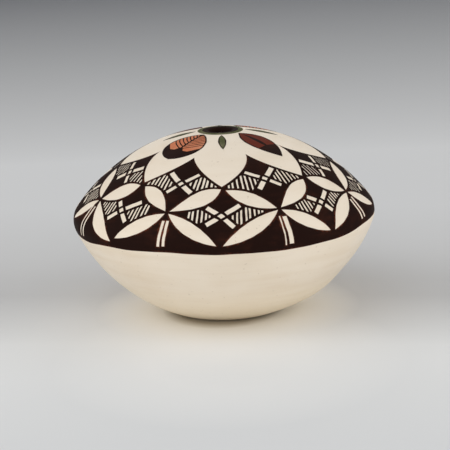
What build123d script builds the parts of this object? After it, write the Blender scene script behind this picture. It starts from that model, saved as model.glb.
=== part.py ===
from build123d import *
import os
from math import asin, atan2, degrees, pi, sqrt

# A low seed jar, raised by hand from a patted clay base and rings of clay coil, each ring
# bevelled where it laps the one below, then coated all over the outside with white slip.
# Millimetres. The jar stands on z = 0, and its axis is Z.

# Finished outside
belly_diameter = 90.0
belly_height = 29.4
belly_rounding = 5.7
lower_wall_radius = 51.0
foot_diameter = 30.4
dome_height = 54.65
mouth_diameter = 6.0
lip_rounding = 1.6

# Thicknesses, and the rounding inside the belly
wall_thickness = 3.6
base_thickness = 4.6
slip_thickness = 0.4
inner_belly_rounding = 6.0

# Underside
foot_ring_width = 4.0
dish_depth = 0.7
bare_foot_height = 0.5

# Coils, measured along the finished surface
base_upturn = 8.0
belly_coil_height = 12.0
mouth_coil_width = 7.0
lap_length = 3.0
wall_coil_count = 3
dome_coil_count = 4


def meeting(first, first_reach, second, second_reach):
    """Point at these distances from two points, on the right going from the first to the second."""
    apart = second - first
    along = (apart.length**2 + first_reach**2 - second_reach**2) / (2 * apart.length)
    aside = sqrt(first_reach**2 - along**2)
    ahead = apart.normalized()
    return first + ahead * along + Vector(ahead.Y, -ahead.X) * aside


def bearing(start, end):
    """Angle above level of the line from one point to another."""
    return atan2(end.Y - start.Y, end.X - start.X)


# The outside is four arcs in the plane of radius and height, each tangent to the next: lower
# wall, belly, dome and lip. The dome is centred on the axis.
belly_centre = Vector(belly_diameter / 2 - belly_rounding, belly_height)
foot_edge = Vector(foot_diameter / 2, 0)
lower_centre = meeting(belly_centre, lower_wall_radius - belly_rounding, foot_edge, lower_wall_radius)

dome_rise = dome_height - belly_height
dome_span = belly_centre.X**2 + dome_rise**2 - belly_rounding**2
dome_radius = dome_span / (2 * (dome_rise - belly_rounding))
dome_centre = Vector(0, dome_height - dome_radius)

lip_offset = mouth_diameter / 2 + lip_rounding
lip_climb = sqrt((dome_radius - lip_rounding) ** 2 - lip_offset**2)
lip_centre = dome_centre + Vector(lip_offset, lip_climb)
lip_start = bearing(dome_centre, lip_centre)


def surface(depth, rounding):
    """A surface this deep under the finished one, with this rounding at the belly.

    It is a list of arcs going up, each with its centre, its radius and the angle of the outward
    normal at its upper end. The normal only ever turns upwards, so its angle names a place.
    """
    lower_radius = lower_wall_radius - depth
    upper_radius = dome_radius - depth
    turn = meeting(dome_centre, upper_radius - rounding, lower_centre, lower_radius - rounding)
    return [
        (lower_centre, lower_radius, bearing(lower_centre, turn)),
        (turn, rounding, bearing(dome_centre, turn)),
        (dome_centre, upper_radius, lip_start),
        (lip_centre, lip_rounding - depth, pi),
    ]


finished = surface(0, belly_rounding)
clay = surface(slip_thickness, belly_rounding - slip_thickness)
inside = surface(slip_thickness + wall_thickness, inner_belly_rounding)


def angle_at_height(face, height):
    """Angle at which a surface's lower wall has this height."""
    centre, radius, last = face[0]
    return asin((height - centre.Y) / radius)


def run(face, start, end):
    """Arcs along a surface between two angles."""
    arcs = []
    for centre, radius, last in face:
        stop = min(last, end)
        if start < stop:
            arcs.append(CenterArc(centre, radius, degrees(start), degrees(stop - start)))
            start = stop
    return arcs


def distance_to(angle):
    """Length of the finished surface from the foot's edge up to an angle."""
    return sum(arc.length for arc in run(finished, angle_at_height(finished, 0), angle))


def angle_at(distance):
    """Angle at a distance up the finished surface from the foot's edge."""
    start = angle_at_height(finished, 0)
    for centre, radius, last in finished:
        reach = radius * (last - start)
        if distance <= reach:
            return start + distance / radius
        distance -= reach
        start = last


def lap_angles(distance):
    """Angles of a joint's outer and inner edges: the upper coil laps down inside the lower."""
    return angle_at(distance + lap_length / 2), angle_at(distance - lap_length / 2)


def turned(edges):
    """Solid turned about Z from the edges of a closed section."""
    return revolve(Plane.XZ * make_face(edges), Axis.Z)


def walled(outer, inner):
    """Ring of wall between an outer and an inner run, closed by a straight edge at each end."""
    ends = [Line(outer[0] @ 0, inner[0] @ 0), Line(outer[-1] @ 1, inner[-1] @ 1)]
    return turned(outer + inner + ends)


def base_pat():
    """Round pat of clay, its rim turned up, dished underneath so that it stands on a ring."""
    outer_lap, inner_lap = lap_angles(base_upturn)
    outer = run(clay, angle_at_height(clay, 0), outer_lap)
    inner = run(inside, angle_at_height(inside, base_thickness), inner_lap)
    foot = outer[0] @ 0
    dish_edge = foot - Vector(foot_ring_width, 0)
    dish_middle = Vector(0, dish_depth)
    floor_middle = Vector(0, base_thickness)
    edges = [
        TangentArc(dish_middle, dish_edge, tangent=(1, 0)),
        Line(dish_edge, foot),
        Line(outer[-1] @ 1, inner[-1] @ 1),
        Line(inner[0] @ 0, floor_middle),
        Line(floor_middle, dish_middle),
    ]
    return turned(edges + outer + inner)


def coil(lower_joint, upper_joint):
    """One ring of coil between two joints, given by their distances up the wall."""
    outer_start, inner_start = lap_angles(lower_joint)
    outer_end, inner_end = lap_angles(upper_joint)
    return walled(run(clay, outer_start, outer_end), run(inside, inner_start, inner_end))


def mouth_coil(lower_joint):
    """Last ring, which closes the dome and rolls over into a mouth that widens inwards."""
    outer_start, inner_start = lap_angles(lower_joint)
    return walled(run(clay, outer_start, pi), run(inside, inner_start, lip_start))


def slip_coat():
    """White slip over the whole outside, from just above the foot to inside the lip."""
    return walled(
        run(finished, angle_at_height(finished, bare_foot_height), pi),
        run(clay, angle_at_height(clay, bare_foot_height), pi),
    )


def joints_between(first, last, coil_count):
    """Evenly spaced joints from first to last, with this many coils between them."""
    return [first + (last - first) * step / coil_count for step in range(coil_count + 1)]


# Joints up the wall, with the belly coil centred on the widest circle
belly_distance = distance_to(0)
wall_joints = joints_between(base_upturn, belly_distance - belly_coil_height / 2, wall_coil_count)
mouth_joint = distance_to(lip_start) - mouth_coil_width
dome_joints = joints_between(belly_distance + belly_coil_height / 2, mouth_joint, dome_coil_count)

pieces = {"base_pat": base_pat()}
for number in range(wall_coil_count):
    pieces[f"wall_coil_{number + 1}"] = coil(wall_joints[number], wall_joints[number + 1])
pieces["belly_coil"] = coil(wall_joints[-1], dome_joints[0])
for number in range(dome_coil_count):
    pieces[f"dome_coil_{number + 1}"] = coil(dome_joints[number], dome_joints[number + 1])
pieces["mouth_coil"] = mouth_coil(mouth_joint)
pieces["slip_coat"] = slip_coat()

os.makedirs("parts", exist_ok=True)
for name, piece in pieces.items():
    export_step(piece, f"parts/{name}.step")
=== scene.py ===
"""Painted seed jar: slip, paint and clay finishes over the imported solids, on a plain stage.

Lengths are metres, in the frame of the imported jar: its axis is Z and it stands on z = 0. A place on the
jar is a pair (bearing, distance). The bearing goes round the axis from the front, in radians, and the
distance goes up the outside of the wall from the foot's edge.
"""

import math
import random

import bpy
from bpy.props import FloatProperty, FloatVectorProperty, IntProperty, PointerProperty
from mathutils import Euler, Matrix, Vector
from mathutils.geometry import delaunay_2d_cdt
from mathutils.kdtree import KDTree


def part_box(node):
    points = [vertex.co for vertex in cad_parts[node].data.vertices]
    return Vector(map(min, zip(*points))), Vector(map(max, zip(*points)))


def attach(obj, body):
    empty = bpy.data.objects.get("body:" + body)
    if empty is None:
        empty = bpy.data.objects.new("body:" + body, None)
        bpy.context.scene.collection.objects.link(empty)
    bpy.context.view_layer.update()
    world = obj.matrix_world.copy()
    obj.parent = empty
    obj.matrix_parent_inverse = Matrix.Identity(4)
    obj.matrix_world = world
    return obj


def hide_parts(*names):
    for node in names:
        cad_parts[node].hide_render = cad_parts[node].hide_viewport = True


bl_info = {
    "name": "Painted seed jar",
    "version": (1, 0, 0),
    "blender": (4, 5, 0),
    "location": "View3D > Sidebar > Jar",
    "description": "Coats a coiled seed jar with slip, paints its band and crown, and sets its stage",
    "category": "Object",
}

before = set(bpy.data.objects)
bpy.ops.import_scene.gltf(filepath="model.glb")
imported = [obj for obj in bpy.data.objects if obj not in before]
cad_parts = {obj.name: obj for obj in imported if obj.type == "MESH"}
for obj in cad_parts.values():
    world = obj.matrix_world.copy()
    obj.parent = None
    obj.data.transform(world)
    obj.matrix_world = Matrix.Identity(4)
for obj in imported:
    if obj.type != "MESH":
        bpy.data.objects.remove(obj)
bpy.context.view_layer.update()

MM = 0.001
CLAY_NODES = [name for name in sorted(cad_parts) if name != "slip_coat"]
SLIP_LOW, SLIP_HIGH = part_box("slip_coat")

# How finely the slip is turned
OUTER_SPACING = 1.1 * MM
INNER_SPACING = 2.5 * MM
LEAST_STEP = 0.3 * MM
STEP_PER_RADIUS = 0.08
SPIN_STEPS = 256
MERGE_DISTANCE = 0.001 * MM
SMOOTH_ANGLE = math.radians(40)

# The lower wall's fullness: how far up the heel goes, how much of the flank comes with the climb and how much
# with the right side, and what brings the peak of its curve to 1
HEEL_PART = 0.45
FLANK_BY_CLIMB = 0.3
FLANK_BY_SIDE = 0.75
FLANK_PEAK = 2.6

# How the paint is drawn and laid
REPEATS = 8
BAND_STEPS = 250
BAND_EDGE_SPACING = 0.45 * MM
BAND_SPACING = 1.1 * MM
CROWN_STEPS = 120
LEAF_SPACING = 0.9 * MM
LIP_SPACING = 0.25 * MM
LOBE_STEPS = 24
STROKE_STEP = 0.6 * MM
CLEAR_STEP = 0.1 * MM
WAVER = 0.035 * MM
EDGE_WAVER = 0.08 * MM
WAVER_TURN = 1.1
UPPER_RISING_WIDTHS = (1.15, 0.85)
LOWER_RISING_WIDTH = 1.0
UPPER_AIM = 0.44
LOWER_AIM = 0.66
PAINT_LIFT = 0.012 * MM
PAINT_THICKNESS = 0.03 * MM
TOUCH = 1e-8

# Where the lamps hang, the point they are turned to, how wide and high they are, and how much stronger
# the low ones are on the right and at the back
OVER_LAMP = (-0.45, -0.35, 0.95)
LAMP_RING = 1.1
HIGH_LAMP = 0.75
LOW_LAMP = 0.13
LAMP_AIM = (0, 0, 0.03)
OVER_LAMP_SIZE = (0.9, 0.9)
HIGH_LAMP_SIZE = (0.9, 0.5)
LOW_LAMP_SIZE = (1.1, 0.24)
LOW_LAMP_LEAN = 0.12
SENSOR_WIDTH = 36.0

# Sockets of the Mix node that take and give colours
MIX_FIRST = 6
MIX_SECOND = 7
MIX_RESULT = 2


def length(name, description, millimetres):
    """Property for a length, given in millimetres and kept in metres."""
    return FloatProperty(name=name, description=description, default=millimetres * MM, unit="LENGTH")


def angle(name, description, degrees):
    """Property for an angle, given in degrees and kept in radians."""
    return FloatProperty(name=name, description=description, default=math.radians(degrees), unit="ROTATION")


def colour(name, description, default):
    """Property for a colour, in linear light."""
    return FloatVectorProperty(name=name, description=description, default=default, size=3, min=0, max=1,
                               subtype="COLOR")


def row(name, description, values, unit="NONE"):
    """Property for a row of numbers, mostly one for each motif, going round from the back."""
    return FloatVectorProperty(name=name, description=description, default=values, size=len(values),
                               unit=unit)


def row_turns(name, description, degrees):
    """Property for a row of turns, given in degrees and kept in radians."""
    return row(name, description, [math.radians(turn) for turn in degrees], "ROTATION")


def row_lengths(name, description, millimetres):
    """Property for a row of lengths, given in millimetres and kept in metres."""
    return row(name, description, [size * MM for size in millimetres], "LENGTH")


class JarShape(bpy.types.PropertyGroup):
    """The finished outside, as the solids have it, and what the hand left uneven."""

    belly_diameter: length("Belly diameter", "Width at the widest circle", (SLIP_HIGH.x - SLIP_LOW.x) / MM)
    belly_height: length("Belly height", "Height of the widest circle", 29.4)
    belly_rounding: length("Belly rounding", "Radius of the turn at the belly", 5.7)
    lower_wall_radius: length("Lower wall radius", "Radius of the lower wall's curve", 51.0)
    foot_diameter: length("Foot diameter", "Width of the foot", 30.4)
    dome_height: length("Dome height", "Height at which the dome's curve would meet the axis", 54.65)
    mouth_diameter: length("Mouth diameter", "Width of the mouth hole", 6.0)
    lip_rounding: length("Lip rounding", "Radius of the rolled lip", 1.6)
    slip_thickness: length("Slip thickness", "Thickness of the coat of slip", 0.4)
    bare_foot_height: length("Bare foot height", "Height of the bare clay under the slip", 0.5)
    unevenness: length("Unevenness", "How far a wall raised by hand leaves the true round", 0.16)
    flank: length("Flank", "How much fuller the hand left the lower wall, most on its right", 1.0)
    heel: length("Heel", "How much fuller the hand left the right of the wall, just over the foot", 1.0)
    shoulder: length("Shoulder", "How much flatter the hand left the dome over the belly", 0.25)


class BandDesign(bpy.types.PropertyGroup):
    """The painted band: rows of motifs by their distance up the wall, and the sizes of its strokes."""

    lower_edge: length("Lower edge", "Where the band starts, just under the belly", 42.1)
    petal_row: length("Petal foot row", "Where the lower petals end", 43.7)
    flower_row: length("Flower row", "Where the four petals of a flower meet", 54.3)
    join_row: length("Join row", "Where the upper petals of two flowers meet", 62.65)
    tip_row: length("Tip row", "Where the points of the band end, round the crown", 76.3)
    edge_rises: row_lengths("Edge rises", "Climb of the band's lower edge, going round from the back",
                            (0, 0.2, -0.1, -0.7, -1.4, -1.5, -0.35, 0.2,
                             -0.45, -0.6, -0.3, 0.85, 0.8, 0.3, -0.1, -0.2))
    petal_turns: row_turns("Petal foot turns", "Drift of each place where lower petals end",
                           (0.5, -1.0, 6.5, -0.6, -2.0, -1.8, -8.0, 1.0))
    flower_turns: row_turns("Flower turns", "Drift of each flower",
                            (1.0, -1.2, 0.8, -1.8, 1.2, -2.3, 1.2, -0.8))
    join_turns: row_turns("Join turns", "Drift of each join", (0.6, -1.0, 4.6, 0.3, -0.5, 0.9, -4.4, 1.0))
    tip_turns: row_turns("Tip turns", "Drift of each point", (1.5, -1.0, 6.5, 0.8, -2.4, -8.2, 1.5, -1.0))
    ray_turns: row_turns("Ray turns", "Drift of each pair of rays",
                         (0.3, -0.5, -1.0, 0.5, -0.2, -0.9, 0.4, -0.2))
    upper_turns: row_turns("Upper turns", "Drift of each upper crossing",
                           (0.5, -0.6, 0.85, 0.35, 1.1, 0.3, 0.5, -0.4))
    lower_turns: row_turns("Lower turns", "Drift of each lower crossing",
                           (0.4, -0.8, -0.2, -2.25, -0.25, 0.33, 0.2, 0.8))
    flower_rises: row_lengths("Flower rises", "Climb of each flower",
                              (0.2, -0.2, 0.0, 0.0, -0.25, -0.65, 0.1, -0.3))
    join_rises: row_lengths("Join rises", "Climb of each join", (0.0, 0.3, 2.3, 0.3, 0.0, 0.2, 1.1, 0.2))
    tip_rises: row_lengths("Tip rises", "Climb of each point", (0.0, 0.5, 0.5, -0.25, 0.6, 2.0, 0.4, -0.3))
    upper_rises: row_lengths("Upper rises", "Climb of each upper crossing",
                             (0.8, 0.9, 1.1, 0.6, 1.2, 0.32, 0.9, 0.8))
    lower_rises: row_lengths("Lower rises", "Climb of each lower crossing",
                             (-0.5, -0.3, -0.6, -0.6, -0.4, 0.0, -0.4, -0.6))
    left_foot_rises: row_lengths("Left foot rises", "Climb of the end of each flower's lower left petal",
                                 (0.2, -0.4, 0.6, 0.4, 0.0, 0.25, -0.3, 0.3))
    right_foot_rises: row_lengths("Right foot rises", "Climb of the end of each flower's lower right petal",
                                  (-0.3, 0.3, -0.8, 0.0, 0.4, 1.4, -0.4, 0.2))
    left_rises: row_lengths("Left rises", "Climb of the end of each flower's upper left petal",
                            (0.0, 0.1, 0.0, 0.4, 0.1, 0.8, 0.0, -0.1))
    left_gaps: row_lengths("Left gaps", "Dark gap at the end of each flower's upper left petal",
                           (1.1, 1.3, 1.0, 1.8, 1.4, 1.6, 4.9, 1.1))
    right_gaps: row_lengths("Right gaps", "Dark gap at the end of each flower's upper right petal",
                            (1.0, 5.2, 1.0, 0.3, 1.0, 1.0, 1.1, 0.7))
    stripe_gaps: row_lengths("Stripe gaps", "Dark gap from each flower to the hatching on both sides of it",
                             (4.2, 4.0, 2.8, 5.4, 4.3, 2.8, 4.0, 4.2))
    ray_spreads: row_lengths("Ray spreads", "Distance between the two rays of each flower",
                             (1.5, 1.5, 1.85, 1.45, 1.6, 1.85, 1.5, 1.5))
    left_ray_widths: row_lengths("Left ray widths", "Width of each flower's left ray",
                                 (0.8, 0.6, 0.75, 0.82, 0.42, 0.75, 0.8, 0.7))
    right_ray_widths: row_lengths("Right ray widths", "Width of each flower's right ray",
                                  (0.8, 1.2, 0.75, 0.82, 1.32, 0.8, 0.8, 1.0))
    left_fullness: row("Left fullness", "How much each upper left petal swells towards its outer end",
                       (0.10, 0.25, 0.15, 0.12, 0.02, 0.05, 0.25, 0.15))
    right_fullness: row("Right fullness", "How much each upper right petal swells towards its outer end",
                        (0.20, 0.05, 0.25, 0.38, 0.30, 0.10, 0.05, 0.25))
    lower_left_gaps: row_lengths("Lower left gaps", "Dark gap at the end of each flower's lower left petal",
                                 (1.0, 0.8, 1.0, 1.0, 1.0, 1.0, 5.4, 1.2))
    lower_right_gaps: row_lengths("Lower right gaps",
                                  "Dark gap at the end of each flower's lower right petal",
                                  (1.1, 4.6, 1.0, 1.0, 1.0, 1.0, 0.9, 1.0))
    left_breadths: row("Left breadths", "Breadth of each upper left petal beside the others",
                       (0.97, 1.0, 1.0, 0.93, 0.93, 1.0, 0.96, 1.02))
    right_breadths: row("Right breadths", "Breadth of each upper right petal beside the others",
                        (1.0, 0.96, 1.14, 1.05, 1.0, 0.98, 1.03, 1.0))
    lower_left_breadths: row("Lower left breadths", "Breadth of each lower left petal beside the others",
                             (0.92, 0.88, 0.76, 0.92, 0.9, 0.92, 0.88, 0.9))
    lower_right_breadths: row("Lower right breadths", "Breadth of each lower right petal beside the others",
                              (0.9, 0.93, 0.92, 0.84, 0.9, 0.77, 0.9, 0.86))
    left_bends: row_lengths("Left bends", "How far each upper left petal bends to its right",
                            (0.2, 0.0, 0.1, 0.85, 0.1, 0.1, 0.0, 0.3))
    lower_left_bends: row_lengths("Lower left bends", "How far each lower left petal bends to its right",
                                  (0.0, 0.2, 0.0, 0.0, 0.0, 0.7, 0.2, 0.1))
    lower_right_bends: row_lengths("Lower right bends", "How far each lower right petal bends to its right",
                                   (0.1, 0.0, 1.0, 0.0, 0.0, 0.2, 0.0, 0.2))
    upper_fineness: row("Upper fineness", "Scale of the hatching in each upper diamond",
                        (1.00, 0.96, 0.94, 0.98, 0.95, 0.88, 0.95, 0.97))
    lower_fineness: row("Lower fineness", "Scale of the hatching in each lower diamond",
                        (1.00, 0.98, 0.95, 0.97, 0.96, 0.95, 0.92, 0.98))
    left_bows: row("Left bows", "Bow of the lobe's edge to the left of each join, where 1 is straight",
                   (1.6, 1.5, 1.7, 1.45, 1.2, 1.15, 1.6, 1.4))
    right_bows: row("Right bows", "Bow of the lobe's edge to the right of each join, where 1 is straight",
                    (1.5, 1.7, 1.5, 1.1, 1.6, 1.6, 1.5, 1.6))
    petal_half_width: length("Petal half width", "Half the width of a petal", 2.36)
    flower_gap: length("Flower gap", "Dark gap from a flower's middle to each petal", 0.7)
    lobe_gap: length("Lobe gap", "Dark gap from a join up to the lobe over it", 0.75)
    outline: length("Outline", "Dark line left round petals and lobes", 0.8)
    bar_width: length("Bar width", "Width of the plain bars that cross in a diamond", 1.3)
    upper_arms: row_lengths("Upper arms",
                            "Longest arms of upper bars: high left, high right, low left, low right",
                            (6.1, 6.0, 4.9, 5.2))
    lower_arms: row_lengths("Lower arms", "Longest arms of lower bars, in the same order",
                            (5.0, 6.9, 5.2, 5.1))
    bar_gap: length("Bar gap", "Dark gap from the end of a bar to a petal or a lobe", 1.0)
    line_width: length("Line width", "Dark line on each side of a bar", 0.82)
    stripe_pitch: length("Stripe pitch", "From one stripe of the hatching to the next", 1.28)
    stripe_width: length("Stripe width", "Width of a plain stripe", 0.64)
    join_stripe_gap: length("Join stripe gap", "Dark gap from a join to the hatching", 0.95)
    ray_start: length("Ray start", "From a flower's middle down to its rays", 2.4)
    ray_end: length("Ray end", "From the band's lower edge up to the rays", 1.6)


class CrownDesign(bpy.types.PropertyGroup):
    """The painted crown: leaves round the mouth, broad and pointed by turns, with small ones between."""

    leaf_pairs: IntProperty(name="Leaf pairs", description="Pairs of a broad and a pointed leaf", default=2)
    first_leaf: angle("First leaf", "Bearing of the first broad leaf", -43.0)
    leaf_start: length("Leaf start", "Where the leaves start, by the ring", 90.55)
    broad_end: length("Broad leaf end", "Where the broad leaves end", 74.2)
    pointed_end: length("Pointed leaf end", "Where the pointed leaves end", 72.7)
    small_end: length("Small leaf end", "Where the small leaves end", 80.4)
    broad_half_width: length("Broad half width", "Half the width of a broad leaf", 6.4)
    pointed_half_width: length("Pointed half width", "Half the width of a pointed leaf", 4.4)
    small_half_width: length("Small half width", "Half the width of a small leaf", 1.2)
    broad_dip: length("Broad dip", "Length of a broad leaf's dark end", 5.8)
    pointed_dip: length("Pointed dip", "Length of a pointed leaf's dark end", 5.4)
    outline: length("Outline", "Width of the dark line round a leaf", 0.45)
    vein_width: length("Vein width", "Width of a leaf's middle line", 0.7)
    hatch_width: length("Hatch width", "Width of a broad leaf's fine lines", 0.38)
    hatch_pitch: length("Hatch pitch", "From one fine line to the next", 1.3)
    ring_start: length("Ring start", "Inner edge of the green ring, by the lip", 92.45)
    ring_end: length("Ring end", "Outer edge of the green ring", 91.05)
    lip_end: length("Lip end", "Inner edge of the dark paint on the lip", 95.55)


class JarColours(bpy.types.PropertyGroup):
    """Colours of the slip, the paints and the clay."""

    slip: colour("Slip", "White slip, polished and fired", (0.82, 0.725, 0.60))
    slip_shade: colour("Slip shade", "Slip where it is thin or rubbed", (0.72, 0.60, 0.45))
    # Painted light: the slip is lighter and warmer towards the foot, standing in for light bounced up from
    # the floor.
    slip_foot_light: colour("Slip at the foot", "Slip stained by handling near the foot", (0.90, 0.78, 0.57))
    black: colour("Black paint", "Dark mineral paint", (0.0150, 0.0064, 0.0048))
    thin_black: colour("Thin black paint", "The dark paint where the brush ran thin", (0.150, 0.042, 0.021))
    orange: colour("Orange paint", "Orange clay paint", (0.55, 0.18, 0.085))
    red: colour("Red paint", "Dark red clay paint", (0.12, 0.022, 0.012))
    green: colour("Green paint", "Dull green paint", (0.075, 0.082, 0.032))
    clay: colour("Clay", "Bare fired clay", (0.36, 0.27, 0.18))
    clay_dark: colour("Dark clay", "Bare clay where the fire clouded it", (0.24, 0.17, 0.11))


class StageSettings(bpy.types.PropertyGroup):
    """The camera, the floor and the light."""

    camera_distance: length("Camera distance", "From the camera to the middle of the jar", 630.0)
    camera_elevation: angle("Camera elevation", "How far the camera stands above level", 13.4)
    camera_pitch: angle("Camera pitch", "How far below level the camera looks", 13.81)
    camera_roll: angle("Camera roll", "How far the camera leans to its right", 2.45)
    camera_aside: length("Camera aside", "How far the camera stands right of the jar's axis", 0.2)
    camera_height: length("Middle height", "Height on the jar from which the distance is taken", 29.9)
    lens: FloatProperty(name="Lens", description="Focal length", default=168.4, unit="CAMERA")
    floor_size: length("Floor size", "Width of the floor", 6000.0)
    # The floor's colours are painted light and shade: lighter just in front, a shaded band level with the
    # jar, darkening far back.
    floor_near: colour("Near floor", "Floor at the near edge of the view", (0.71, 0.72, 0.725))
    floor_front_light: colour("Floor in front", "Floor just in front of the jar", (0.775, 0.78, 0.775))
    floor_pool: colour("Light pool", "Floor where the light pools in front of the jar", (0.85, 0.85, 0.838))
    floor_beside_shade: colour("Floor beside", "Floor level with the jar", (0.55, 0.55, 0.55))
    floor_behind: colour("Floor behind", "Floor just behind the jar", (0.64, 0.645, 0.65))
    floor_far_shade: colour("Far floor", "Floor at the far edge of the view", (0.110, 0.114, 0.123))
    # Painted light: the floor is brighter and warmer close round the foot, making up for the jar's shade
    # there.
    floor_round_light: colour("Floor round the jar", "Floor close round the foot", (0.88, 0.86, 0.815))
    # Painted shadow: the floor is darker at the edge of the foot, where the jar meets it.
    floor_under_shadow: colour("Floor under the jar", "Floor at the edge of the foot", (0.56, 0.50, 0.40))
    sky: FloatProperty(name="Sky light", description="Strength of the even light all round", default=0.4)
    over_power: FloatProperty(name="Overhead power", description="Power of the soft lamp overhead",
                              default=2.0, unit="POWER")
    high_power: FloatProperty(name="High power", description="Power of each high lamp round the jar",
                              default=2.2, unit="POWER")
    low_power: FloatProperty(name="Low power", description="Power of each low lamp round the jar",
                             default=3.4, unit="POWER")


class Jar(bpy.types.PropertyGroup):
    """All that can be set on the jar."""

    shape: PointerProperty(name="Shape", description="Sizes of the jar", type=JarShape)
    band: PointerProperty(name="Band", description="Layout of the painted band", type=BandDesign)
    crown: PointerProperty(name="Crown", description="Layout of the painted crown", type=CrownDesign)
    colours: PointerProperty(name="Colours", description="Colours of the jar", type=JarColours)
    stage: PointerProperty(name="Stage", description="Camera, floor and light", type=StageSettings)


# The wall and places on it

def meeting(first, first_reach, second, second_reach):
    """Point at these distances from two points, on the right going from the first to the second."""
    apart = second - first
    along = (apart.length_squared + first_reach**2 - second_reach**2) / (2 * apart.length)
    aside = math.sqrt(first_reach**2 - along**2)
    ahead = apart.normalized()
    return first + ahead * along + Vector((ahead.y, -ahead.x)) * aside


def slope(start, end):
    """Angle above level of the line from one point to another."""
    return math.atan2(end.y - start.y, end.x - start.x)


class Wall:
    """The jar's outside: arcs in the plane of radius and height, each tangent to the next, going up."""

    def __init__(self, shape):
        belly = Vector((shape.belly_diameter / 2 - shape.belly_rounding, shape.belly_height))
        foot = Vector((shape.foot_diameter / 2, 0))
        lower = meeting(belly, shape.lower_wall_radius - shape.belly_rounding, foot, shape.lower_wall_radius)
        rise = shape.dome_height - shape.belly_height
        span = belly.x**2 + rise**2 - shape.belly_rounding**2
        dome_radius = span / (2 * (rise - shape.belly_rounding))
        dome = Vector((0, shape.dome_height - dome_radius))
        lip_offset = shape.mouth_diameter / 2 + shape.lip_rounding
        lip_climb = math.sqrt((dome_radius - shape.lip_rounding) ** 2 - lip_offset**2)
        lip = dome + Vector((lip_offset, lip_climb))
        turns = [slope(lower, foot), slope(lower, belly), slope(dome, belly), slope(dome, lip), math.pi]
        radii = [shape.lower_wall_radius, shape.belly_rounding, dome_radius, shape.lip_rounding]
        self.arcs = list(zip([lower, belly, dome, lip], radii, turns, turns[1:]))
        self.shape = shape
        self.apex = sum(radius * (end - start) for _, radius, start, end in self.arcs[:2])
        self.apex += dome_radius * (math.pi / 2 - turns[2])

    def at(self, distance):
        """Radius, height and slope of the outward normal at a distance up the wall."""
        for centre, radius, start, end in self.arcs:
            turn = start + distance / radius
            if turn <= end:
                break
            distance -= radius * (end - start)
        return centre.x + radius * math.cos(turn), centre.y + radius * math.sin(turn), turn

    def radius(self, distance):
        """Radius at a distance up the wall."""
        return self.at(distance)[0]

    def section(self, depth, lowest, spacing):
        """Points (radius, height) up the wall at a depth under its face, from a lowest height."""
        points = []
        for centre, radius, start, end in self.arcs:
            reach = radius - depth
            if not points:
                start = math.asin((lowest - centre.y) / reach)
            step = min(spacing, max(LEAST_STEP, radius * STEP_PER_RADIUS))
            count = math.ceil(reach * (end - start) / step)
            for number in range(count):
                turn = start + (end - start) * number / count
                points.append((centre.x + reach * math.cos(turn), centre.y + reach * math.sin(turn)))
        points.append((centre.x - reach, centre.y))
        return points

    def by_hand(self, bearing, radius, height):
        """Point at a bearing, radius and height, moved a little as a wall raised by hand is uneven."""
        shape = self.shape
        rise = min(max(height / shape.dome_height, 0), 1)
        swell = 0.6 * math.sin(2 * bearing + 0.7)
        swell += 0.4 * math.sin(3 * bearing + 2.1 + 3 * rise)
        swell += 0.25 * math.sin(5 * bearing - 4 * rise)
        radius += shape.unevenness * 4 * rise * (1 - rise) * swell
        if height < shape.belly_height:
            climb = max(height / shape.belly_height, 0)
            rightness = ((1 + math.sin(bearing)) / 2) ** 2
            fullness = FLANK_BY_CLIMB * climb + FLANK_BY_SIDE * rightness
            radius += shape.flank * fullness * FLANK_PEAK * math.sqrt(climb) * (1 - climb)
            radius += shape.heel * rightness * math.sin(math.pi * min(climb / HEEL_PART, 1)) ** 2
        else:
            climb = min((height - shape.belly_height) / (shape.dome_height - shape.belly_height), 1)
            radius -= shape.shoulder * 4 * climb * (1 - climb)
        return radius * math.sin(bearing), -radius * math.cos(bearing), height

    def place(self, place, lift):
        """Point at a place on the jar, this far off its face."""
        bearing, distance = place
        radius, height, turn = self.at(distance)
        return self.by_hand(bearing, radius + lift * math.cos(turn), height + lift * math.sin(turn))


# Drawing flat

def between(start, end, part):
    """Place this part of the way from one place to another."""
    return start[0] + (end[0] - start[0]) * part, start[1] + (end[1] - start[1]) * part


def halfway(start, end):
    """Place in the middle between two places."""
    return between(start, end, 0.5)


def leaf(half_width, swell=0.0, bluntness=1.0, more=0.0):
    """Half width along a leaf: none at its ends, and fuller towards its outer end where it swells.

    Less bluntness rounds the ends, and more is added all along.
    """
    def half_width_at(part):
        return more + half_width * (4 * part * (1 - part)) ** bluntness * (1 + swell * (2 * part - 1))

    return half_width_at


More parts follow.
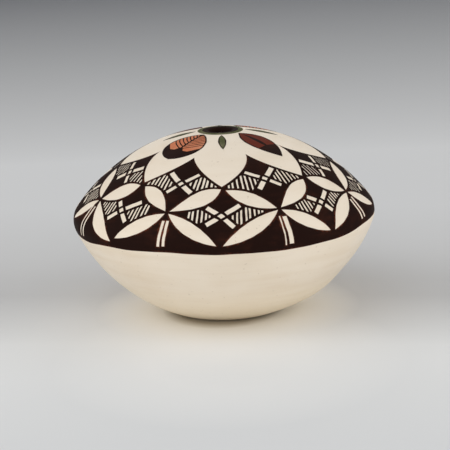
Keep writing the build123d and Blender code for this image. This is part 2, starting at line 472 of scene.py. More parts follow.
class Drawing:
    """Shapes laid out flat, as the dome looks from straight above with its wall rolled out level."""

    def __init__(self, design, wall, seed):
        self.design = design
        self.wall = wall
        self.hand = random.Random(seed)
        self.edges = None
        self.corners = []
        self.corner_kinds = []
        self.loops = []
        self.kinds = []

    def span(self, start, end):
        """Vector on the wall from one place to another: along the circle, and up."""
        radius = self.wall.radius((start[1] + end[1]) / 2)
        return Vector(((end[0] - start[0]) * radius, end[1] - start[1]))

    def towards(self, start, end, reach):
        """Place this far from the start, on the way to the end."""
        return between(start, end, reach / self.span(start, end).length)

    def line(self, *places, step=STROKE_STEP):
        """Places close together along straight runs between these places."""
        points = [places[0]]
        for start, end in zip(places, places[1:]):
            count = max(1, math.ceil(self.span(start, end).length / step))
            points += [between(start, end, (number + 1) / count) for number in range(count)]
        return points

    def stroke(self, line, half_width, waver=WAVER):
        """Outline of a brush stroke along a line, with the small waver of the hand.

        The half width is one length, or goes by the part of the line that is done.
        """
        outline = {1: [], -1: []}
        last = len(line) - 1
        for side in outline:
            phase = self.hand.uniform(0, 2 * math.pi)
            for number, place in enumerate(line):
                part = number / last
                ahead = self.span(line[max(number - 1, 0)], line[min(number + 1, last)]).normalized()
                half = half_width(part) if callable(half_width) else half_width
                if half < TOUCH and side < 0:
                    continue
                half += waver * math.sin(math.pi * part) * math.sin(WAVER_TURN * number + phase)
                turn = side * ahead.y * half / self.wall.radius(place[1])
                outline[side].append((place[0] - turn, place[1] + side * ahead.x * half))
        return outline[1] + outline[-1][::-1]

    def circle(self, distance, waver=0.0, count=360):
        """Outline round the jar at a distance up the wall, wavering by up to about this much."""
        outline = []
        for number in range(count):
            bearing = 2 * math.pi * number / count
            drift = 0.6 * math.sin(5 * bearing + 1)
            drift += 0.4 * math.sin(13 * bearing)
            drift += 0.3 * math.sin(31 * bearing)
            outline.append((bearing, distance + waver * drift))
        return outline

    def flat(self, place):
        """Point of the flat drawing for a place on the jar."""
        reach = self.wall.apex - place[1]
        return Vector((reach * math.sin(place[0]), -reach * math.cos(place[0])))

    def place(self, point):
        """Place on the jar for a point of the flat drawing."""
        return math.atan2(point.x, -point.y), self.wall.apex - point.length

    def note_edges(self, kinds):
        """Keeps the outlines drawn so far of these kinds, to stay clear of."""
        points = [corner for corner, kind in zip(self.corners, self.corner_kinds) if kind in kinds]
        self.edges = KDTree(len(points))
        for number, point in enumerate(points):
            self.edges.insert(point.to_3d(), number)
        self.edges.balance()

    def clear_run(self, start, end, gap):
        """Last place from the start towards the end that stays this clear of the noted outlines."""
        clear = start
        for place in self.line(start, end, step=CLEAR_STEP):
            if self.edges.find(self.flat(place).to_3d())[2] < gap:
                break
            clear = place
        return clear

    def add(self, kind, outline):
        """Adds a closed outline of a kind, turned so that it runs anticlockwise."""
        points = [self.flat(place) for place in outline]
        area = sum(a.cross(b) for a, b in zip(points, points[1:] + points[:1]))
        if area < 0:
            points.reverse()
        first = len(self.corners)
        self.corners += points
        self.corner_kinds += [kind] * len(points)
        self.loops.append(list(range(first, len(self.corners))))
        self.kinds.append(kind)

    def add_rings(self, lowest, highest, spacing, count):
        """Adds loose points in rings, so that paint follows the curve of the wall."""
        rings = math.ceil((highest - lowest) / spacing)
        for ring in range(rings + 1):
            distance = lowest + (highest - lowest) * ring / rings
            for number in range(count):
                bearing = 2 * math.pi * (number + 0.5 * (ring % 2)) / count
                self.corners.append(self.flat((bearing, distance)))
                self.corner_kinds.append("ring")

    def paint_at(self, kinds):
        """Names the paint where these kinds of shape lie over each other, or None for bare slip."""
        raise NotImplementedError

    def patches(self, thin_kinds=()):
        """Triangles of each paint, as {paint: (places, triangles, thinness)}.

        The paint is thin at the outlines of the thin kinds.
        """
        corners, _, faces, sources, _, covers = delaunay_2d_cdt(self.corners, [], self.loops, 0, TOUCH)
        found = {}
        for face, cover in zip(faces, covers):
            paint = self.paint_at({self.kinds[loop] for loop in cover})
            if paint:
                found.setdefault(paint, []).append(face)
        patches = {}
        for paint, triangles in found.items():
            used = sorted({corner for triangle in triangles for corner in triangle})
            index = {corner: number for number, corner in enumerate(used)}
            places = [self.place(corners[c]) for c in used]
            thinness = [float(any(self.corner_kinds[s] in thin_kinds for s in sources[c])) for c in used]
            patches[paint] = (places, [[index[c] for c in triangle] for triangle in triangles], thinness)
        return patches


# Pieces

def deselect_all():
    """Leaves nothing selected, and object mode on."""
    if bpy.context.mode != "OBJECT":
        bpy.ops.object.mode_set(mode="OBJECT")
    bpy.ops.object.select_all(action="DESELECT")


def apply_modifier(piece, kind, **settings):
    """Adds a modifier with these settings and applies it."""
    bpy.context.view_layer.objects.active = piece
    bpy.ops.object.modifier_add(type=kind)
    modifier = piece.modifiers[-1]
    for name, value in settings.items():
        setattr(modifier, name, value)
    bpy.ops.object.modifier_apply(modifier=modifier.name)


def hand_over(piece, name, material):
    """Names a finished piece, gives it its one material and lets it ride on the jar."""
    piece.name = name
    piece.data.name = name
    piece.data.materials.clear()
    piece.data.materials.append(material)
    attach(piece, "root")


def turned_shell(section):
    """Closed shell turned about the axis from a closed section of (radius, height) points."""
    deselect_all()
    radius, height = section[0]
    bpy.ops.mesh.primitive_plane_add(size=MM, location=(0, 0, 0), enter_editmode=True)
    bpy.ops.mesh.merge(type="CENTER")
    bpy.ops.transform.translate(value=(radius, 0, height))
    for start, end in zip(section, section[1:] + section[:1]):
        step = (end[0] - start[0], 0, end[1] - start[1])
        bpy.ops.mesh.extrude_region_move(TRANSFORM_OT_translate={"value": step})
    bpy.ops.mesh.select_all(action="SELECT")
    bpy.ops.mesh.remove_doubles(threshold=MERGE_DISTANCE)
    bpy.ops.mesh.spin(steps=SPIN_STEPS, angle=2 * math.pi, center=(0, 0, 0), axis=(0, 0, 1))
    bpy.ops.mesh.select_all(action="SELECT")
    bpy.ops.mesh.remove_doubles(threshold=MERGE_DISTANCE)
    bpy.ops.mesh.normals_make_consistent(inside=False)
    bpy.ops.object.mode_set(mode="OBJECT")
    return bpy.context.object


def lay_paint(wall, name, patch, material):
    """Thin closed film of paint on the jar from flat triangles."""
    places, triangles, thinness = patch
    mesh = bpy.data.meshes.new(name)
    mesh.from_pydata([wall.place(place, PAINT_LIFT) for place in places], [], triangles)
    mesh.attributes.new("thinness", "FLOAT", "POINT").data.foreach_set("value", thinness)
    film = bpy.data.objects.new(name, mesh)
    bpy.context.collection.objects.link(film)
    deselect_all()
    film.select_set(True)
    apply_modifier(film, "SOLIDIFY", thickness=PAINT_THICKNESS, offset=1.0)
    bpy.ops.object.shade_smooth_by_angle(angle=SMOOTH_ANGLE)
    hand_over(film, name, material)


# Finishes

class Finish:
    """A material being mixed: one Principled surface and the nodes that feed it."""

    def __init__(self, name):
        self.material = bpy.data.materials.new(name)
        self.material.use_nodes = True
        self.tree = self.material.node_tree
        self.surface = self.tree.nodes["Principled BSDF"]
        self.object_place = self.node("ShaderNodeTexCoord").outputs["Object"]

    def node(self, kind, inputs=(), **settings):
        """New node with these settings. Each input is a fixed value or another node's output."""
        node = self.tree.nodes.new(kind)
        for name, value in settings.items():
            setattr(node, name, value)
        for name, value in dict(inputs).items():
            self.feed(node.inputs[name], value)
        return node

    def feed(self, socket, value):
        """Gives a socket a fixed value or another node's output."""
        if isinstance(value, bpy.types.NodeSocket):
            self.tree.links.new(value, socket)
        else:
            socket.default_value = value

    def noise(self, scale, detail=2.0, stretch=None):
        """Cloudy values over the surface. The stretch scales each axis."""
        place = self.object_place
        if stretch:
            place = self.node("ShaderNodeMapping", {"Vector": place, "Scale": stretch}).outputs["Vector"]
        inputs = {"Vector": place, "Scale": scale, "Detail": detail}
        return self.node("ShaderNodeTexNoise", inputs).outputs["Fac"]

    def remap(self, value, low, high, to_low=0.0, to_high=1.0):
        """Values from low to high spread over another range, and held at its ends."""
        inputs = {"Value": value, "From Min": low, "From Max": high, "To Min": to_low, "To Max": to_high}
        return self.node("ShaderNodeMapRange", inputs).outputs["Result"]

    def blend(self, part, first, second):
        """Colour between two colours, by the part of the second."""
        node = self.node("ShaderNodeMix", data_type="RGBA")
        self.feed(node.inputs[0], part)
        for number, value in ((MIX_FIRST, first), (MIX_SECOND, second)):
            linked = isinstance(value, bpy.types.NodeSocket)
            self.feed(node.inputs[number], value if linked else (*value, 1.0))
        return node.outputs[MIX_RESULT]

    def work(self, operation, first, second):
        """Sum, product or power of two values."""
        node = self.node("ShaderNodeMath", operation=operation)
        self.feed(node.inputs[0], first)
        self.feed(node.inputs[1], second)
        return node.outputs[0]

    def depth(self, lean):
        """Distance behind the origin, more to the right by the lean."""
        inputs = {0: self.object_place, 1: (lean, 1.0, 0.0)}
        return self.node("ShaderNodeVectorMath", inputs, operation="DOT_PRODUCT").outputs["Value"]

    def reach(self, scale, shift=(0.0, 0.0, 0.0)):
        """Distance from the origin, once each axis is scaled and then shifted."""
        inputs = {0: self.object_place, 1: scale, 2: shift}
        moved = self.node("ShaderNodeVectorMath", inputs, operation="MULTIPLY_ADD").outputs["Vector"]
        return self.node("ShaderNodeVectorMath", {0: moved}, operation="LENGTH").outputs["Value"]

    def bump(self, height, depth, strength):
        """Gives the surface this height map, of this depth."""
        node = self.node("ShaderNodeBump", {"Height": height, "Distance": depth, "Strength": strength})
        self.feed(self.surface.inputs["Normal"], node.outputs["Normal"])


def slip_finish(colours):
    """Polished white slip: clouded, faintly streaked round the jar, specked, and painted lighter and warmer
    towards the foot as light bounced up from the floor.
    """
    finish = Finish("white_slip_polished")
    clouds = finish.noise(55.0, 4.0)
    streaks = finish.noise(1.0, 3.0, stretch=(45.0, 45.0, 520.0))
    grain = finish.noise(1500.0, 2.0)
    specks = finish.remap(finish.noise(1500.0, 0.0), 0.80, 0.83, 0.0, 0.3)
    cloudy = finish.remap(clouds, 0.42, 0.72, 0.0, 0.35)
    streaky = finish.remap(streaks, 0.45, 0.75, 0.0, 0.3)
    base = finish.blend(finish.work("ADD", cloudy, streaky), colours.slip, colours.slip_shade)
    height = finish.node("ShaderNodeSeparateXYZ", {"Vector": finish.object_place}).outputs["Z"]
    # Painted light towards the foot, standing in for light bounced up from the floor.
    base = finish.blend(finish.remap(height, 16 * MM, 1 * MM, 0.0, 0.55), base, colours.slip_foot_light)
    base = finish.blend(specks, base, colours.clay)
    finish.feed(finish.surface.inputs["Base Color"], base)
    finish.feed(finish.surface.inputs["Roughness"], finish.remap(streaks, 0.3, 0.7, 0.46, 0.60))
    finish.surface.inputs["Specular IOR Level"].default_value = 0.2
    relief = finish.work("ADD", finish.work("MULTIPLY", streaks, 0.6), finish.work("MULTIPLY", grain, 0.4))
    finish.bump(relief, 0.06 * MM, 0.5)
    return finish.material


def paint_finish(name, paint, thin_paint, patchiness):
    """Matt brushed paint: darker where it pooled, and thin at its edges and along brush marks."""
    finish = Finish(name)
    brush = finish.noise(1.0, 3.0, stretch=(110.0, 110.0, 420.0))
    clouds = finish.noise(120.0, 3.0)
    patches = finish.work("MULTIPLY", finish.remap(brush, 0.45, 0.75), finish.remap(clouds, 0.45, 0.7))
    edge = finish.node("ShaderNodeAttribute", attribute_name="thinness").outputs["Fac"]
    edge = finish.work("POWER", edge, 1.6)
    edge = finish.work("MULTIPLY", edge, finish.remap(clouds, 0.35, 0.65, 0.1, 1.0))
    part = finish.work("ADD", finish.work("MULTIPLY", patches, patchiness), edge)
    finish.feed(finish.surface.inputs["Base Color"], finish.blend(part, paint, thin_paint))
    finish.feed(finish.surface.inputs["Roughness"], finish.remap(brush, 0.3, 0.7, 0.5, 0.66))
    finish.surface.inputs["Specular IOR Level"].default_value = 0.02
    finish.bump(brush, 0.02 * MM, 0.4)
    return finish.material


def clay_finish(colours):
    """Bare fired clay: sandy, clouded by the fire, quite rough."""
    finish = Finish("fired_clay_bare")
    clouds = finish.noise(70.0, 4.0)
    grit = finish.noise(1400.0, 2.0)
    base = finish.blend(finish.remap(clouds, 0.4, 0.7), colours.clay, colours.clay_dark)
    base = finish.blend(finish.remap(grit, 0.62, 0.72, 0.0, 0.4), base, colours.slip_shade)
    finish.feed(finish.surface.inputs["Base Color"], base)
    finish.feed(finish.surface.inputs["Roughness"], finish.remap(grit, 0.3, 0.7, 0.75, 0.9))
    finish.bump(grit, 0.1 * MM, 0.6)
    return finish.material


def floor_finish(stage):
    """Pale matt floor with painted light and shade: darker bands far back, a painted pool of light in front,
    painted light close round the foot and a painted shadow at its edge.
    """
    finish = Finish("studio_floor")
    # Painted light and shade in bands from front to back: lighter just in front, a shaded band level with the
    # jar, darker far back.
    depth = finish.depth(0.15)
    tone = finish.blend(finish.remap(depth, -130 * MM, -50 * MM), stage.floor_near, stage.floor_front_light)
    tone = finish.blend(finish.remap(depth, -40 * MM, 12 * MM), tone, stage.floor_beside_shade)
    tone = finish.blend(finish.remap(depth, 30 * MM, 130 * MM), tone, stage.floor_behind)
    far = finish.work("POWER", finish.remap(finish.depth(0.0), 220 * MM, 750 * MM), 0.8)
    tone = finish.blend(far, tone, stage.floor_far_shade)
    # Painted pool of light on the floor in front of the jar.
    pool = finish.reach((1.0, 0.85, 0.0), (0.0, 46 * MM, 0.0))
    tone = finish.blend(finish.remap(pool, 50 * MM, 22 * MM), tone, stage.floor_pool)
    # Painted light close round the foot, making up for the jar's own shade and warmed as by light off the
    # jar.
    close = finish.reach((1.0, 1.0, 0.0))
    tone = finish.blend(finish.remap(close, 40 * MM, 23 * MM), tone, stage.floor_round_light)
    # Painted shadow at the edge of the foot, set a little to the left and front.
    shadow = finish.reach((1.22, 1.0, 0.0), (1.7 * MM, 1.6 * MM, 0.0))
    tone = finish.blend(finish.remap(shadow, 22.3 * MM, 17 * MM), tone, stage.floor_under_shadow)
    finish.feed(finish.surface.inputs["Base Color"], tone)
    finish.surface.inputs["Roughness"].default_value = 0.9
    finish.surface.inputs["Specular IOR Level"].default_value = 0.1
    return finish.material


# The band

class Band(Drawing):
    """The drawing of the band: places of its motifs, and each kind of motif."""

    def bearing(self, number, offset, turns):
        """Bearing of a motif: its even place in a row, offset by part of a step, and its own small turn."""
        return 2 * math.pi * ((number + offset) / REPEATS - 0.5) + turns[number % REPEATS]

    def foot(self, number, rise=0.0):
        """Place where two lower petals end, with the climb of one of them."""
        return self.bearing(number, 0, self.design.petal_turns), self.design.petal_row + rise

    def flower(self, number):
        """Middle of a flower."""
        rise = self.design.flower_rises[number % REPEATS]
        return self.bearing(number, 0.5, self.design.flower_turns), self.design.flower_row + rise

    def join(self, number):
        """Place where the upper petals of two flowers meet under a lobe."""
        rise = self.design.join_rises[number % REPEATS]
        return self.bearing(number, 0, self.design.join_turns), self.design.join_row + rise

    def tip(self, number):
        """Point of the band between two lobes."""
        rise = self.design.tip_rises[number % REPEATS]
        return self.bearing(number, 0.5, self.design.tip_turns), self.design.tip_row + rise

    def edge_rise(self, bearing):
        """Climb of the band's lower edge at a bearing."""
        rises = self.design.edge_rises
        step = (bearing / (2 * math.pi) + 0.5) * len(rises)
        before = math.floor(step)
        part = step - before
        part *= part * (3 - 2 * part)
        return rises[before % len(rises)] * (1 - part) + rises[(before + 1) % len(rises)] * part

    def about(self, size, spread):
        """A size as the hand gives it, within this part of it."""
        return size * self.hand.uniform(1 - spread, 1 + spread)

    def petal(self, flower, end, gap, breadth, fullness=0.0, bend=0.0):
        """Plain petal from a flower to a gap before where it points, with its dark outline.

        It swells towards its outer end by the fullness, and bends to its right.
        """
        design = self.design
        start = self.towards(flower, end, design.flower_gap)
        stop = self.towards(end, flower, gap)
        ahead = self.span(start, stop).normalized()
        radius = self.wall.radius(halfway(start, stop)[1])
        half = self.about(design.petal_half_width * breadth, 0.03)
        line = self.line(start, stop)
        for number, (bearing, distance) in enumerate(line):
            part = number / (len(line) - 1)
            aside = bend * 4 * part * (1 - part)
            line[number] = (bearing + aside * ahead.y / radius, distance - aside * ahead.x)
        self.add("petal", self.stroke(line, leaf(half, fullness)))
        self.add("guard", self.stroke(line, leaf(half, fullness, more=design.outline)))

    def rays(self, number):
        """Two plain rays that hang from a flower."""
        design = self.design
        bearing, distance = self.flower(number)
        bearing += design.ray_turns[number]
        end = design.lower_edge + self.edge_rise(bearing) + design.ray_end
        for side, widths in ((-1, design.left_ray_widths), (1, design.right_ray_widths)):
            start = distance - self.about(design.ray_start, 0.15)
            aside = side * design.ray_spreads[number] / 2 / self.wall.radius(start)
            line = self.line((bearing + aside * 0.9, start), (bearing + aside, self.about(end, 0.004)))
            self.add("ray", self.stroke(line, self.about(widths[number], 0.05) / 2))

    def edge(self, number, side):
        """Lobe's edge from a join up to the point on one side, left -1 or right 1."""
        bows = self.design.left_bows if side < 0 else self.design.right_bows
        bow = bows[number % REPEATS]
        low = self.join(number)
        low = (low[0], low[1] + self.design.lobe_gap)
        high = self.tip(number if side > 0 else number - 1)
        places = []
        for step in range(LOBE_STEPS + 1):
            part = step / LOBE_STEPS
            across = 1 - (1 - part) ** bow
            places.append((low[0] + (high[0] - low[0]) * across, low[1] + (high[1] - low[1]) * part))
        return places

    def lobes(self):
        """The plain field of the crown, whose lobes reach down to the joins."""
        field = []
        for number in range(REPEATS):
            field += self.edge(number, 1)[:-1]
            field += self.edge(number + 1, -1)[:0:-1]
            for side in (-1, 1):
                self.add("guard", self.stroke(self.edge(number, side), self.design.outline))
        self.add("field", field)

    def diamond(self, corners, turn, rise, arms, rising_width, aim, gaps, fineness):
        """Two plain bars that cross, one mostly the wider, and hatching to the left and right of them.

        The crossing is off the middle by the turn and the rise. The aim is how far down the lower right
        side the falling bar points. The gaps are from the left and right corners to the hatching.
        """
        design = self.design
        left, right, top, low = corners
        middle = halfway(halfway(left, right), halfway(top, low))
        centre = (middle[0] + turn, middle[1] + rise)
        ends = (halfway(left, top), halfway(top, right), between(left, low, 0.56), between(right, low, aim))
        stops = []
        for end, arm in zip(ends, arms):
            stops.append(self.clear_run(centre, self.towards(centre, end, arm), design.bar_gap))
        bars = (("rising", rising_width, 2, 1), ("falling", 2 - rising_width, 0, 3))
        for name, width, first, last in bars:
            half = self.about(design.bar_width * width, 0.05) / 2
            bar = self.line(stops[first], centre, stops[last])
            self.add(name + "_bar", self.stroke(bar, half))
            whole = self.line(ends[first], centre, ends[last])
            self.add(name + "_edge", self.stroke(whole, half + design.line_width))
        self.hatching(centre, left, ends[0], ends[2], gaps[0], fineness)
        self.hatching(centre, right, ends[1], ends[3], gaps[1], fineness)

    def hatching(self, centre, corner, upper, lower, gap, fineness):
        """Plain stripes up and down the wall, between a diamond's centre and one corner."""
        design = self.design
        turn = corner[0] - centre[0]
        radius = self.wall.radius(centre[1])
        breadth = abs(turn) * radius
        pitch = self.about(design.stripe_pitch * fineness, 0.06)
        lean = self.hand.uniform(-0.12, 0.12)
        for number in range(math.floor((breadth - gap) / pitch)):
            part = (number + 0.6 + self.hand.uniform(-0.1, 0.1)) * pitch / breadth
            if part < 0.5:
                high, low = between(centre, upper, part * 2), between(centre, lower, part * 2)
            else:
                high, low = between(upper, corner, part * 2 - 1), between(lower, corner, part * 2 - 1)
            shift = lean * (high[1] - low[1]) / 2 / radius
            bearing = centre[0] + turn * part
            line = self.line((bearing - shift, low[1]), (bearing + shift, high[1]))
            width = self.about(design.stripe_width * fineness**5, 0.1)
            self.add("stripe", self.stroke(line, width / 2))

    def petals(self, number):
        """The four petals of a flower."""
        design = self.design
        flower = self.flower(number)
        left = self.join(number)
        left = (left[0], left[1] + design.left_rises[number])
        right = self.join(number + 1)
        low_left = self.foot(number, design.left_foot_rises[number])
        low_right = self.foot(number + 1, design.right_foot_rises[number])
        self.petal(flower, left, design.left_gaps[number], design.left_breadths[number],
                   design.left_fullness[number], design.left_bends[number])
        self.petal(flower, right, design.right_gaps[number], design.right_breadths[number],
                   design.right_fullness[number])
        self.petal(flower, low_left, design.lower_left_gaps[number], design.lower_left_breadths[number],
                   bend=design.lower_left_bends[number])
        self.petal(flower, low_right, design.lower_right_gaps[number], design.lower_right_breadths[number],
                   bend=design.lower_right_bends[number])

    def diamonds(self, number):
        """The diamond over a flower, and the lower one to its left."""
        design = self.design
        flower = self.flower(number)
        upper = (self.join(number), self.join(number + 1), self.tip(number), flower)
        gaps = (design.join_stripe_gap, design.join_stripe_gap)
        self.diamond(upper, design.upper_turns[number], design.upper_rises[number], design.upper_arms,
                     UPPER_RISING_WIDTHS[number % 2], UPPER_AIM, gaps, design.upper_fineness[number])
        lower = (self.flower(number - 1), flower, self.join(number), self.foot(number))
        gaps = (design.stripe_gaps[number - 1], design.stripe_gaps[number])
        self.diamond(lower, design.lower_turns[number], design.lower_rises[number], design.lower_arms,
                     LOWER_RISING_WIDTH, LOWER_AIM, gaps, design.lower_fineness[number])

    def draw(self):
        """Draws the whole band."""
        design = self.design
        level = self.circle(design.lower_edge, waver=EDGE_WAVER)
        self.add("band", [(bearing, edge + self.edge_rise(bearing)) for bearing, edge in level])
        self.lobes()
        for number in range(REPEATS):
            self.petals(number)
        self.note_edges({"petal", "field"})
        for number in range(REPEATS):
            self.rays(number)
            self.diamonds(number)
        lowest = design.lower_edge + min(design.edge_rises) - 0.2 * MM
        self.add_rings(lowest, design.petal_row + 3 * MM, BAND_EDGE_SPACING, BAND_STEPS)
        self.add_rings(design.petal_row + 4 * MM, design.tip_row + 2 * MM, BAND_SPACING, BAND_STEPS)

    def paint_at(self, kinds):
        """Black, but for what is left plain."""
        if "band" not in kinds or kinds & {"field", "petal", "ray"}:
            return None
        if "guard" in kinds:
            return "black"
        on_rising = "rising_bar" in kinds
        on_falling = "falling_bar" in kinds
        if on_rising and on_falling:
            return None
        if on_rising:
            return "black" if "falling_edge" in kinds else None
        if on_falling:
            return "black" if "rising_edge" in kinds else None
        plain_stripe = "stripe" in kinds and not kinds & {"rising_edge", "falling_edge"}
        return None if plain_stripe else "black"


# The crown

class Crown(Drawing):
    """The drawing of the crown: a dark lip, a green ring, and leaves round it."""

    def outlined_leaf(self, kind, bearing, end, outline, half_width, **form):
        """Leaf along a bearing: its whole shape, and its own colour within a dark outline."""
        start = self.design.leaf_start
        line = self.line((bearing, start), (bearing, end))
        inner = self.line((bearing, start - outline), (bearing, end + outline))
        self.add("leaf", self.stroke(line, leaf(half_width, **form)))
        self.add(kind, self.stroke(inner, leaf(half_width - outline, **form)))

    def broad_leaf(self, bearing):
        """Broad leaf with a rounded dark end, a middle line and fine slanting lines."""
        design = self.design
        self.outlined_leaf("orange", bearing, design.broad_end, design.outline, design.broad_half_width,
                           swell=0.35, bluntness=0.7)
        line = self.line((bearing, design.leaf_start), (bearing, design.broad_end))
        self.add("dark", self.stroke(line, design.vein_width / 2))
        dip = design.broad_end + design.broad_dip
        far = 2 * design.broad_half_width / self.wall.radius(dip)
        wave = [(0.125, -0.9 * MM), (0.25, -1.1 * MM), (0.5, 0.9 * MM), (1.0, 0.0)]
        right = [(bearing + far * part, dip + rise) for part, rise in wave]
        left = [(2 * bearing - place[0], place[1]) for place in reversed(right)]
        ends = [(bearing + far * part, design.broad_end - MM) for part in (1, 0, -1)]
        self.add("dark", left + [(bearing, dip + 1.2 * MM)] + right + ends)
        for side in (-1, 1):
            for number in range(math.ceil((design.leaf_start - dip) / design.hatch_pitch)):
                low = (bearing, dip + design.hatch_pitch * number)
                high = (bearing + side * far, low[1] + 6 * MM)
                self.add("dark", self.stroke(self.line(low, high), design.hatch_width / 2))

    def pointed_leaf(self, bearing):
        """Pointed leaf with a dark tip and a dark streak."""
        design = self.design
        self.outlined_leaf("red", bearing, design.pointed_end, design.outline, design.pointed_half_width,
                           swell=-0.05)
        dip = design.pointed_end + design.pointed_dip
        line = self.line((bearing, design.leaf_start - MM), (bearing, dip))
        self.add("dark", self.stroke(line, leaf(design.vein_width, 0.5)))
        far = 2 * design.pointed_half_width / self.wall.radius(dip)
        left, right = [(bearing + far * side, dip - 2 * MM) for side in (-1, 1)]
        ends = [(bearing + far * part, design.pointed_end - MM) for part in (-1, 0, 1)]
        self.add("dark", [(bearing, dip + 1.5 * MM), left] + ends + [right])

    def draw(self):
        """Draws the whole crown."""
        design = self.design
        self.add("ring", self.circle(design.ring_end, count=CROWN_STEPS))
        self.add("lip", self.circle(design.ring_start, count=CROWN_STEPS))
        self.add("hole", self.circle(design.lip_end, count=CROWN_STEPS))
        step = math.pi / design.leaf_pairs
        for pair in range(design.leaf_pairs):
            bearing = design.first_leaf + 2 * step * pair
            self.broad_leaf(bearing)
            self.pointed_leaf(bearing + step)
            for offset in (0.5, 1.5):
                self.outlined_leaf("green", bearing + step * offset, design.small_end, design.outline * 0.8,
                                   design.small_half_width)
        self.add_rings(design.pointed_end, design.ring_start, LEAF_SPACING, CROWN_STEPS)
        self.add_rings(design.ring_start, design.lip_end, LIP_SPACING, CROWN_STEPS)

    def paint_at(self, kinds):
        """Dark lip in a green ring, and leaves of their own colours with what is dark on them."""
        if "hole" in kinds:
            return None
        if "ring" in kinds:
            return "black" if "lip" in kinds else "green"
        if "leaf" not in kinds:
            return None
        if "dark" in kinds:
            return "black"
        for paint in ("orange", "red", "green"):
            if paint in kinds:
                return paint
        return "black"


# Operators

class JAR_OT_finish_clay(bpy.types.Operator):
    """Give the coils and the base their bare fired clay"""

    bl_idname = "jar.finish_clay"
    bl_label = "Finish the clay"

    def execute(self, context):
        clay = clay_finish(context.scene.jar.colours)
        for name in CLAY_NODES:
            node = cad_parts[name]
            node.data.materials.clear()
            node.data.materials.append(clay)
        return {"FINISHED"}


class JAR_OT_coat_slip(bpy.types.Operator):
    """Coat the outside of the jar with white slip"""

    bl_idname = "jar.coat_slip"
    bl_label = "Coat with slip"

    def execute(self, context):
        jar = context.scene.jar
        wall = Wall(jar.shape)
        outer = wall.section(0, jar.shape.bare_foot_height, OUTER_SPACING)
        inner = wall.section(jar.shape.slip_thickness, jar.shape.bare_foot_height, INNER_SPACING)
        coat = turned_shell(outer + inner[::-1])
        for corner in coat.data.vertices:
            x, y, height = corner.co
            corner.co = wall.by_hand(math.atan2(x, -y), math.hypot(x, y), height)
        bpy.ops.object.shade_smooth_by_angle(angle=SMOOTH_ANGLE)
        hand_over(coat, "slip_coat_polished", slip_finish(jar.colours))
        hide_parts("slip_coat")
        return {"FINISHED"}


class JAR_OT_paint_band(bpy.types.Operator):
    """Paint the band of flowers and diamonds round the dome"""

    bl_idname = "jar.paint_band"
    bl_label = "Paint the band"

    def execute(self, context):
        jar = context.scene.jar
        wall = Wall(jar.shape)
        band = Band(jar.band, wall, seed=11)
        band.draw()
        patch = band.patches({"petal", "field", "band", "ray"})["black"]
        finish = paint_finish("black_band_paint", jar.colours.black, jar.colours.thin_black, 0.18)
        lay_paint(wall, "band_black", patch, finish)
        return {"FINISHED"}


class JAR_OT_paint_crown(bpy.types.Operator):
    """Paint the rosette of leaves round the mouth"""

    bl_idname = "jar.paint_crown"
    bl_label = "Paint the crown"

    def execute(self, context):
        jar = context.scene.jar
        wall = Wall(jar.shape)
        crown = Crown(jar.crown, wall, seed=5)
        crown.draw()
        for paint, patch in sorted(crown.patches().items()):
            own = getattr(jar.colours, paint)
            thin = jar.colours.thin_black if paint in ("black", "red") else jar.colours.slip_shade
            patchiness = 0.1 if paint == "black" else 0.4
            finish = paint_finish(paint + "_crown_paint", own, thin, patchiness)
            lay_paint(wall, "crown_" + paint, patch, finish)
        return {"FINISHED"}


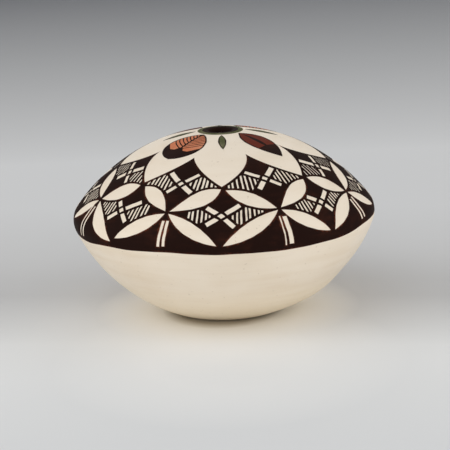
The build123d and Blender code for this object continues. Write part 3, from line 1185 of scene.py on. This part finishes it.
class JAR_OT_set_stage(bpy.types.Operator):
    """Set the floor, the light and the camera"""

    bl_idname = "jar.set_stage"
    bl_label = "Set the stage"

    def execute(self, context):
        stage = context.scene.jar.stage
        self.lay_floor(stage)
        self.hang_light(context.scene, stage)
        self.aim_camera(context.scene, stage)
        context.scene.view_settings.view_transform = "Standard"
        return {"FINISHED"}

    def lay_floor(self, stage):
        """Lays the floor."""
        deselect_all()
        bpy.ops.mesh.primitive_plane_add(size=stage.floor_size, location=(0, 0, 0))
        floor = bpy.context.object
        floor.name = "floor"
        floor.data.materials.append(floor_finish(stage))

    def hang_light(self, scene, stage):
        """Lights the jar from the sky, from overhead and from two rings of lamps."""
        world = bpy.data.worlds.new("studio")
        world.use_nodes = True
        background = world.node_tree.nodes["Background"]
        background.inputs["Color"].default_value = (1.0, 1.0, 1.0, 1.0)
        background.inputs["Strength"].default_value = stage.sky
        scene.world = world
        self.add_lamp("lamp_over", Vector(OVER_LAMP), OVER_LAMP_SIZE, stage.over_power)
        for number in range(4):
            bearing = math.pi / 2 * number
            aside = Vector((LAMP_RING * math.sin(bearing), -LAMP_RING * math.cos(bearing), 0))
            high_place = aside + Vector((0, 0, HIGH_LAMP))
            self.add_lamp("lamp_high_" + str(number + 1), high_place, HIGH_LAMP_SIZE, stage.high_power)
            low_place = aside + Vector((0, 0, LOW_LAMP))
            power = stage.low_power * (1 + LOW_LAMP_LEAN * (math.sin(bearing) - math.cos(bearing)))
            low = self.add_lamp("lamp_low_" + str(number + 1), low_place, LOW_LAMP_SIZE, power)
            low.visible_glossy = False

    def add_lamp(self, name, place, size, power):
        """Hangs one soft lamp, turned to the jar and unseen by the camera."""
        deselect_all()
        bpy.ops.object.light_add(type="AREA", location=place)
        lamp = bpy.context.object
        lamp.name = name
        lamp.data.shape = "RECTANGLE"
        lamp.data.size, lamp.data.size_y = size
        lamp.data.energy = power
        lamp.rotation_euler = (Vector(LAMP_AIM) - place).to_track_quat("-Z", "Y").to_euler()
        lamp.visible_camera = False
        return lamp

    def aim_camera(self, scene, stage):
        """Sets the camera where the photo was taken from."""
        deselect_all()
        back = stage.camera_distance * math.cos(stage.camera_elevation)
        up = stage.camera_height + stage.camera_distance * math.sin(stage.camera_elevation)
        bpy.ops.object.camera_add(location=(stage.camera_aside, -back, up))
        camera = bpy.context.object
        camera.name = "photo_camera"
        look = Euler((math.pi / 2 - stage.camera_pitch, 0, 0)).to_matrix()
        lean = Euler((0, 0, -stage.camera_roll)).to_matrix()
        camera.rotation_euler = (look @ lean).to_euler()
        camera.data.lens = stage.lens
        camera.data.sensor_width = SENSOR_WIDTH
        scene.camera = camera


class JAR_PT_sidebar(bpy.types.Panel):
    """The jar's steps, in the order of making"""

    bl_idname = "JAR_PT_sidebar"
    bl_label = "Painted seed jar"
    bl_space_type = "VIEW_3D"
    bl_region_type = "UI"
    bl_category = "Jar"

    def draw(self, context):
        for step in STEPS:
            self.layout.operator(step.bl_idname)


STEPS = (JAR_OT_finish_clay, JAR_OT_coat_slip, JAR_OT_paint_band, JAR_OT_paint_crown, JAR_OT_set_stage)
GROUPS = (JarShape, BandDesign, CrownDesign, JarColours, StageSettings, Jar)


def register():
    for item in GROUPS + STEPS + (JAR_PT_sidebar,):
        bpy.utils.register_class(item)
    bpy.types.Scene.jar = PointerProperty(type=Jar)


def unregister():
    del bpy.types.Scene.jar
    for item in reversed(GROUPS + STEPS + (JAR_PT_sidebar,)):
        bpy.utils.unregister_class(item)


def main():
    register()
    bpy.ops.jar.finish_clay()
    bpy.ops.jar.coat_slip()
    bpy.ops.jar.paint_band()
    bpy.ops.jar.paint_crown()
    bpy.ops.jar.set_stage()


if __name__ == "__main__":
    main()
